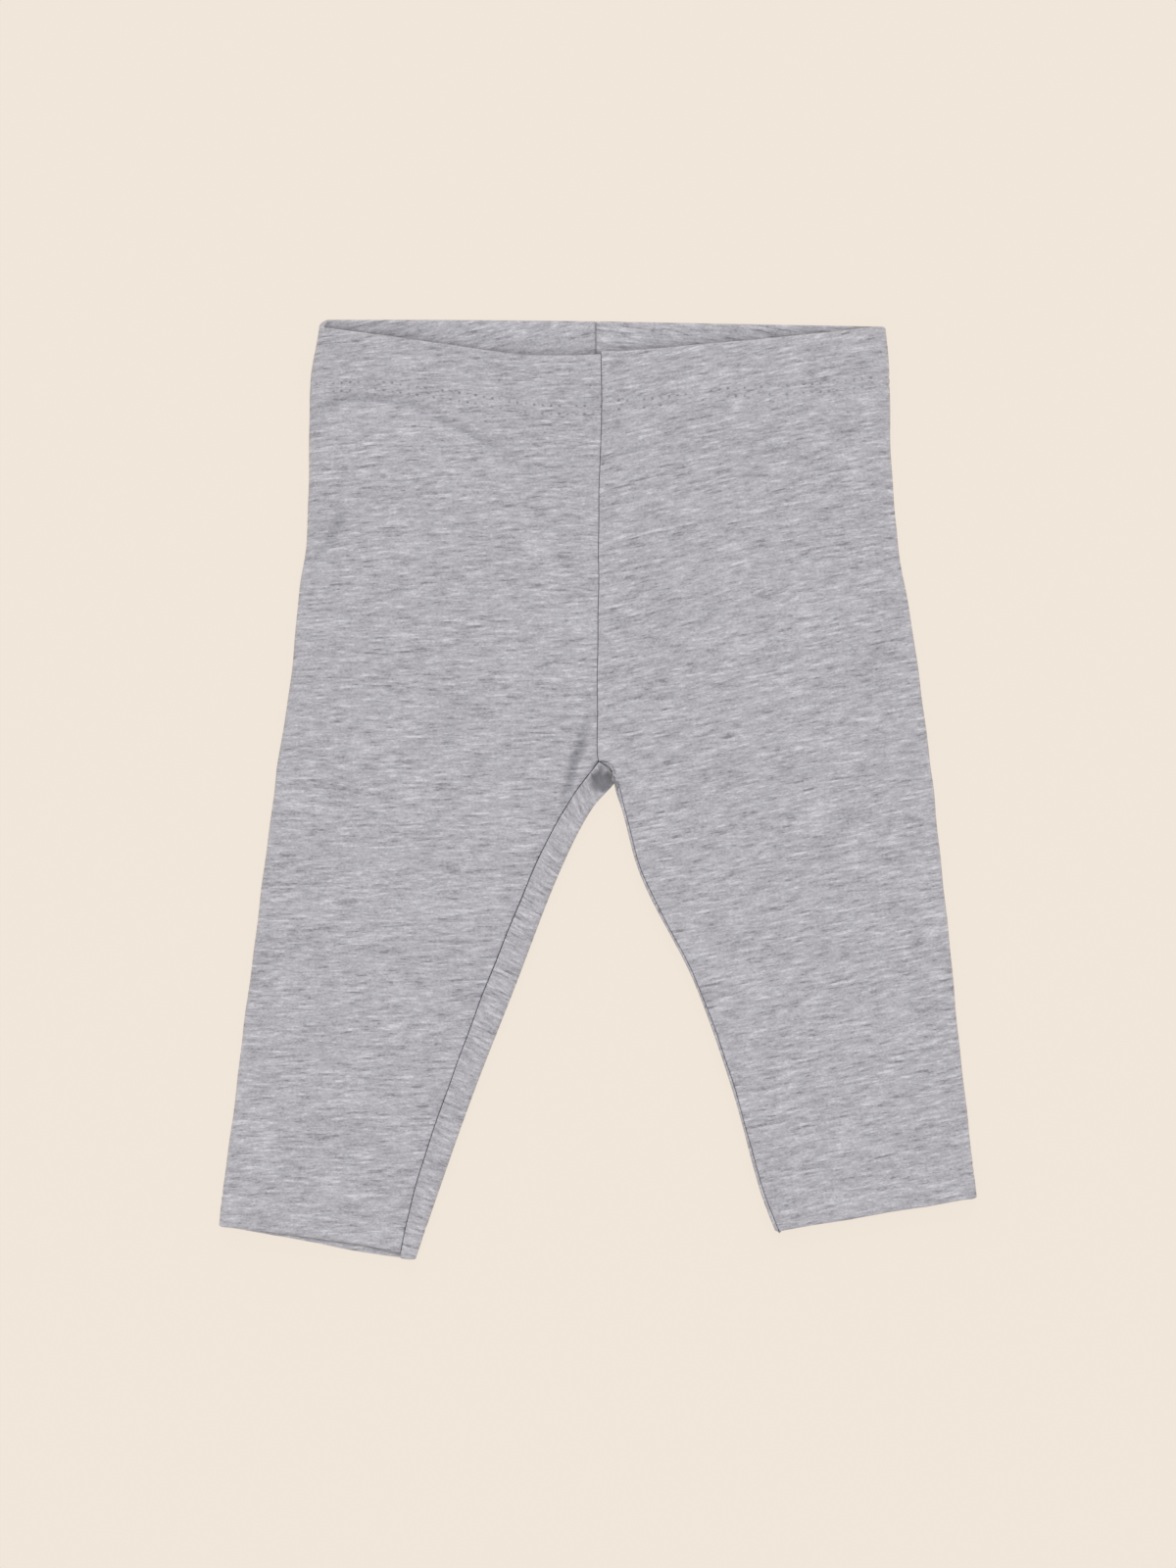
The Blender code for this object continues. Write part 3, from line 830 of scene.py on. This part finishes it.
def node(tree, kind, inputs=(), **settings):
    """A shader node with its settings and its inputs, which are values or the sockets that feed them."""
    made = tree.nodes.new(kind)
    for name, value in settings.items():
        setattr(made, name, value)
    for key, value in dict(inputs).items():
        socket = made.inputs[key]
        if isinstance(value, bpy.types.NodeSocket):
            tree.links.new(value, socket)
        else:
            socket.default_value = value
    return made


def maths(tree, operation, *values, clamp=False):
    made = node(tree, "ShaderNodeMath", enumerate(values), operation=operation, use_clamp=clamp)
    return made.outputs[0]


def stretched_noise(tree, u, v, grain, roughness=0.5):
    """Noise from 0 to 1, with grains of this size."""
    place = node(
        tree,
        "ShaderNodeCombineXYZ",
        {
            0: maths(tree, "MULTIPLY_ADD", u, 1 / grain.along, grain.offset),
            1: maths(tree, "MULTIPLY_ADD", v, 1 / grain.across, grain.offset * OFFSET_RATIO),
        },
    )
    noise = node(
        tree,
        "ShaderNodeTexNoise",
        {"Vector": place.outputs[0], "Scale": 1.0, "Detail": grain.detail, "Roughness": roughness},
        noise_dimensions="2D",
    )
    return noise.outputs["Fac"]


def banded_noise(tree, u, v, grain):
    """Noise along the courses that starts afresh in each band of them, one grain high."""
    band = maths(tree, "FLOOR", maths(tree, "MULTIPLY_ADD", v, 1 / grain.across, grain.offset))
    return stretched_noise(tree, u, band, grain._replace(across=1 / BAND_STRIDE), DASH_ROUGHNESS)


def weighted(tree, noise, u, v, grains):
    """The sum of such noises about 0, each with its weight."""
    total = 0.0
    for grain in grains:
        about_zero = maths(tree, "SUBTRACT", noise(tree, u, v, grain), 0.5)
        total = maths(tree, "MULTIPLY_ADD", about_zero, grain.weight, total)
    return total


def melange(tree, u, v):
    """Shade of the yarn from 0, dark, to 1, light: dashes along the courses, a course or two high."""
    drift = stretched_noise(tree, u, v, COURSE_DRIFT)
    drifted = maths(tree, "MULTIPLY_ADD", drift, COURSE_DRIFT.weight, v)
    dashes = weighted(tree, banded_noise, u, drifted, DASHES)
    cube = maths(tree, "MULTIPLY", maths(tree, "MULTIPLY", dashes, dashes), dashes)
    dashes = maths(tree, "MULTIPLY_ADD", cube, DASH_CONTRAST, dashes)
    soft = weighted(tree, stretched_noise, u, drifted, SOFTNESS)
    return maths(tree, "ADD", maths(tree, "ADD", dashes, soft), 0.5)


def knit_height(tree, u, v):
    """The relief of the loops: columns of small chevrons."""
    wale = maths(tree, "FRACT", maths(tree, "DIVIDE", u, WALE))
    from_middle = maths(tree, "ABSOLUTE", maths(tree, "SUBTRACT", wale, 0.5))
    edge = maths(tree, "POWER", maths(tree, "MULTIPLY", from_middle, 2.0), LOOP_FLATNESS)
    place = maths(tree, "MULTIPLY_ADD", from_middle, LOOP_SLANT, maths(tree, "DIVIDE", v, COURSE))
    loop = maths(tree, "SINE", maths(tree, "MULTIPLY", place, 2 * np.pi))
    loop = maths(tree, "MULTIPLY_ADD", loop, 0.5, 0.5)
    return maths(tree, "MULTIPLY", loop, maths(tree, "SUBTRACT", 1.0, edge))


def needle_marks(tree, stitch):
    """How near a point of the cloth is to a needle hole of the twin rows, from 0 to 1."""
    parts = node(tree, "ShaderNodeSeparateXYZ", {0: stitch})
    marks = []
    for length, row in ((parts.outputs[0], 0.0), (parts.outputs[1], ROW_DISTANCE)):
        turn = maths(tree, "FRACT", maths(tree, "MULTIPLY_ADD", length, 1 / STITCH_PITCH, 0.5))
        beside = maths(tree, "MULTIPLY", maths(tree, "SUBTRACT", turn, 0.5), STITCH_PITCH)
        past = maths(tree, "SUBTRACT", parts.outputs[2], row)
        square = maths(tree, "ADD", maths(tree, "POWER", beside, 2.0), maths(tree, "POWER", past, 2.0))
        hole = maths(tree, "EXPONENT", maths(tree, "MULTIPLY", square, -1 / NEEDLE_HOLE**2))
        first = 0.5 + NUMBERS_APART * row
        number = maths(tree, "FLOOR", maths(tree, "MULTIPLY_ADD", length, 1 / STITCH_PITCH, first))
        depth = node(tree, "ShaderNodeTexWhiteNoise", {"W": number}, noise_dimensions="1D")
        marks.append(maths(tree, "MULTIPLY", hole, depth.outputs["Value"]))
    return maths(tree, "ADD", *marks, clamp=True)


def ramp(tree, factor, stops):
    """A colour that follows these stops."""
    made = node(tree, "ShaderNodeValToRGB", {"Fac": factor})
    while len(made.color_ramp.elements) < len(stops):
        made.color_ramp.elements.new(1.0)
    for element, (place, colour) in zip(made.color_ramp.elements, stops):
        element.position = place
        element.color = (*colour, 1.0)
    return made.outputs["Color"]


def new_material(name):
    """A material, its node tree and its shader."""
    material = bpy.data.materials.new(name)
    material.use_nodes = True
    return material, material.node_tree, material.node_tree.nodes["Principled BSDF"]


def jersey_material():
    """The cloth's look. It reads three vectors from the mesh: cloth, the place along the courses and
    across them; stitch, the place on the rows of stitches; and look, the painted shade and light as a
    factor on the colour, how plainly needle marks show, and the hollow, where the melange is fainter."""
    material, tree, shader = new_material("melange_jersey")
    cloth, stitch, look = (
        node(tree, "ShaderNodeAttribute", attribute_name=name).outputs["Vector"]
        for name in ("cloth", "stitch", "look")
    )
    u, v, _ = node(tree, "ShaderNodeSeparateXYZ", {0: cloth}).outputs
    painted_shading, plainness, hollow = node(tree, "ShaderNodeSeparateXYZ", {0: look}).outputs
    marks = maths(tree, "MULTIPLY", needle_marks(tree, stitch), plainness)

    # The needle holes get painted shade on top of the melange.
    shade = maths(tree, "MULTIPLY_ADD", marks, MARK_SHADE, melange(tree, u, v))
    # In the hollow the melange is made fainter, as in deep shade, along with its painted shade.
    contrast = maths(tree, "MULTIPLY_ADD", hollow, -HOLLOW_CALM, 1.0)
    shade = maths(tree, "MULTIPLY_ADD", maths(tree, "SUBTRACT", shade, 0.5), contrast, 0.5)
    colour = ramp(tree, shade, ((0.25, JERSEY_DARK), (0.5, JERSEY_GREY), (0.75, JERSEY_LIGHT)))
    colour_with_painted_shade = node(tree, "ShaderNodeVectorMath", {0: colour, "Scale": painted_shading}, operation="SCALE")

    fuzz = maths(tree, "MULTIPLY", stretched_noise(tree, u, v, FUZZ, FUZZ_ROUGHNESS), FUZZ.weight)
    height = maths(tree, "MULTIPLY_ADD", knit_height(tree, u, v), KNIT_RELIEF, fuzz)
    height = maths(tree, "MULTIPLY_ADD", marks, MARK_RELIEF, height)
    bump = node(tree, "ShaderNodeBump", {"Height": height, "Strength": 0.5, "Distance": 0.12 * MM})

    tree.links.new(colour_with_painted_shade.outputs[0], shader.inputs["Base Color"])
    tree.links.new(bump.outputs["Normal"], shader.inputs["Normal"])
    shader.inputs["Roughness"].default_value = 0.95
    shader.inputs["Specular IOR Level"].default_value = 0.2
    shader.inputs["Sheen Weight"].default_value = 0.15
    shader.inputs["Sheen Roughness"].default_value = 0.5
    return material


def thread_material():
    material, tree, shader = new_material("grey_thread")
    place = node(tree, "ShaderNodeTexCoord").outputs["Object"]
    scale = 1 / (THREAD_GRAIN * MM)
    noise = node(tree, "ShaderNodeTexNoise", {"Vector": place, "Scale": scale, "Detail": 2.0})
    noise = noise.outputs["Fac"]
    colour = ramp(tree, noise, ((0.35, JERSEY_GREY), (0.65, JERSEY_LIGHT)))
    bump = node(tree, "ShaderNodeBump", {"Height": noise, "Strength": 0.4, "Distance": 0.05 * MM})
    tree.links.new(colour, shader.inputs["Base Color"])
    tree.links.new(bump.outputs["Normal"], shader.inputs["Normal"])
    shader.inputs["Roughness"].default_value = 0.7
    shader.inputs["Sheen Weight"].default_value = 0.2
    return material


def floor_material():
    material, _, shader = new_material("pale_floor")
    dimmed = [(1 - FLOOR_GLOW) * part for part in FLOOR_COLOUR]
    shader.inputs["Base Color"].default_value = (*dimmed, 1.0)
    shader.inputs["Emission Color"].default_value = (*FLOOR_COLOUR, 1.0)
    shader.inputs["Emission Strength"].default_value = FLOOR_GLOW
    shader.inputs["Roughness"].default_value = 1.0
    shader.inputs["Specular IOR Level"].default_value = 0.0
    return material


def build_leg(leg, shift, jersey, thread_look):
    """One leg's shell of cloth and its stitches."""
    face, flat, level, shade, crotch = outer_face(leg)
    face, stitch, rings = sewn(face, leg)
    face[..., 2] += seam_relief(face, level, crotch, leg.side_sign)
    hollow = strip_hollow(face, level, leg.side_sign)
    face[..., 2] -= HOLLOW_DEPTH * hollow

    facing = normals(face, leg.side_sign)
    casing, casing_flat = turned_in(face, facing, flat, CASING_ROLL, CASING_DEPTH, CASING_STEP)
    hem, hem_flat = turned_in(face[::-1], facing[::-1], flat[::-1], HEM_ROLL, HEM_DEPTH, HEM_STEP)
    unstitched = np.array([0.0, 0.0, -HEM_ROW])
    stitch = np.concatenate([np.full_like(casing, unstitched), stitch, np.full_like(hem, unstitched)])
    # Painted shade of the casing's and the hem's insides, the hollow and the creases. Negative values are
    # painted light.
    painted_shade = np.concatenate([mouth_shade(casing)[::-1], HOLLOW_SHADE * hollow + shade, foot_shade(hem)])
    flat = np.concatenate([casing_flat[::-1], flat, hem_flat])
    shell = np.concatenate([casing[::-1], face, hem])
    waist_half = np.arange(len(shell)) < len(casing) + len(face) // 2
    look = np.zeros_like(shell)
    look[..., 0] = 1 - painted_shade
    look[..., 1] = np.where(waist_half, *leg.marks)[:, None]
    look[len(casing) : -len(hem), :, 2] = hollow
    shell, thickness = rolled_under(shell, leg.side_sign)

    cloth = cloth_piece(f"{leg.name}_leg_cloth", shell + shift, leg.side_sign, thickness, jersey)
    store(cloth, "cloth", course_places(flat, leg.course_slope, leg.course_bow))
    store(cloth, "stitch", stitch)
    store(cloth, "look", look)
    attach(cloth, "root")
    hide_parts(f"leg_{leg.name}", f"waist_casing_{leg.name}", f"hem_{leg.name}")

    thread = thread_piece(f"{leg.name}_coverstitch", rings + shift, thread_look)
    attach(thread, "root")

    opened_width = lengths_along(shell, 1)[:, -1].max()
    opened_length = lengths_along(shell, 0)[-1].max()


def outline_shift():
    """What moves the tables' frame to the CAD model's: it brings their lowest corners together."""
    faces = [section_points(row, leg.side_sign) for leg in (RIGHT_LEG, LEFT_LEG) for row in leg.sections]
    lowest = np.vstack(faces)[:, :2].min(axis=0)
    return np.array([*(np.array(cad_box[0][:2]) / MM - lowest), 0.0])


def build_floor():
    """A wide pale floor that sweeps up all round into a backdrop."""
    profile = [(FLOOR_REACH, 0.0)]
    for angle in np.linspace(0, np.pi / 2, SWEEP_STEPS + 1)[1:]:
        profile.append((FLOOR_REACH + SWEEP * np.sin(angle), SWEEP * (1 - np.cos(angle))))
    around = np.linspace(0, 2 * np.pi, FLOOR_SIDES, endpoint=False)
    points = [(0.0, 0.0, 0.0)]
    for reach, height in profile:
        points.extend((reach * np.cos(a), reach * np.sin(a), height) for a in around)
    index = 1 + np.arange(len(profile) * FLOOR_SIDES).reshape(len(profile), FLOOR_SIDES)
    following = np.roll(index, -1, axis=1)
    faces = [(0, int(a), int(b)) for a, b in zip(index[0], following[0])]
    quads = np.stack([index[:-1], index[1:], following[1:], following[:-1]], axis=-1)
    faces.extend(quads.reshape(-1, 4).tolist())
    floor = mesh_piece("floor", np.array(points), faces, floor_material())
    floor.location.z = -FLOOR_DROP * MM


def build_light():
    world = bpy.data.worlds.new("studio")
    world.use_nodes = True
    world.node_tree.nodes["Background"].inputs["Color"].default_value = (1.0, 1.0, 1.0, 1.0)
    world.node_tree.nodes["Background"].inputs["Strength"].default_value = SKY
    bpy.context.scene.world = world
    sun = bpy.data.lights.new("softbox", "SUN")
    sun.energy = np.pi * (1 - SKY) / np.cos(np.radians(SUN_TILT))
    sun.angle = np.radians(SUN_WIDTH)
    lamp = bpy.data.objects.new("softbox", sun)
    lamp.rotation_euler = (np.radians(-SUN_TILT), 0.0, 0.0)
    bpy.context.collection.objects.link(lamp)


def build_camera():
    """Straight above the middle of the photograph, with its frame."""
    data = bpy.data.cameras.new("camera")
    data.lens = LENS
    data.sensor_width = SENSOR
    camera = bpy.data.objects.new("camera", data)
    across = (PHOTO_SIZE[0] / 2 - PHOTO_ORIGIN[0]) * PHOTO_PIXEL
    up = (PHOTO_ORIGIN[1] - PHOTO_SIZE[1] / 2) * PHOTO_PIXEL
    distance = PHOTO_SIZE[1] * PHOTO_PIXEL * LENS / SENSOR + LEG_HEIGHT
    camera.location = np.array([across, up, distance]) * MM
    bpy.context.collection.objects.link(camera)
    bpy.context.scene.camera = camera


def main():
    bpy.context.scene.view_settings.view_transform = "Standard"
    shift = outline_shift()
    jersey = jersey_material()
    thread = thread_material()
    for leg in (RIGHT_LEG, LEFT_LEG):
        build_leg(leg, shift, jersey, thread)
    build_floor()
    build_light()
    build_camera()


main()
